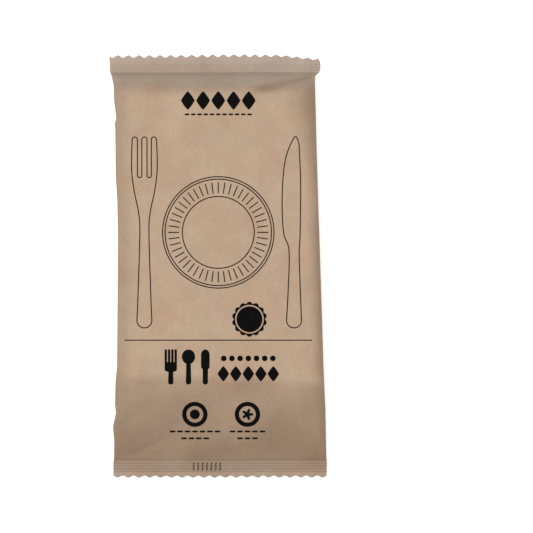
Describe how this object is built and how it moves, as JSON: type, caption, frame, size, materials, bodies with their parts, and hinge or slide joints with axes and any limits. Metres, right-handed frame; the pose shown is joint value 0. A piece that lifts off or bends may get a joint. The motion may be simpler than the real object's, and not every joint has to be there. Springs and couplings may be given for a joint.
{
  "type": "wooden cutlery pack",
  "caption": "Sealed flat kraft paper pack of loose wooden forks, with ribbed and zigzag-cut crimps at both ends and a folded fin seal along the back.",
  "frame": {"origin": "bottom centre of the bounding box, under the middle of the back, at table height", "axes": "+Y along the pack towards the crimp with the short steep shoulder, +Z up out of the printed face, +X across the pack, to the right when the printed face is seen with +Y up"},
  "size_m": [0.0966, 0.1876, 0.013],
  "materials": {
    "kraft_paper": "matte"
  },
  "bodies": {
    "root": {"cutlery_pack": "kraft_paper"}
  },
  "joints": []
}
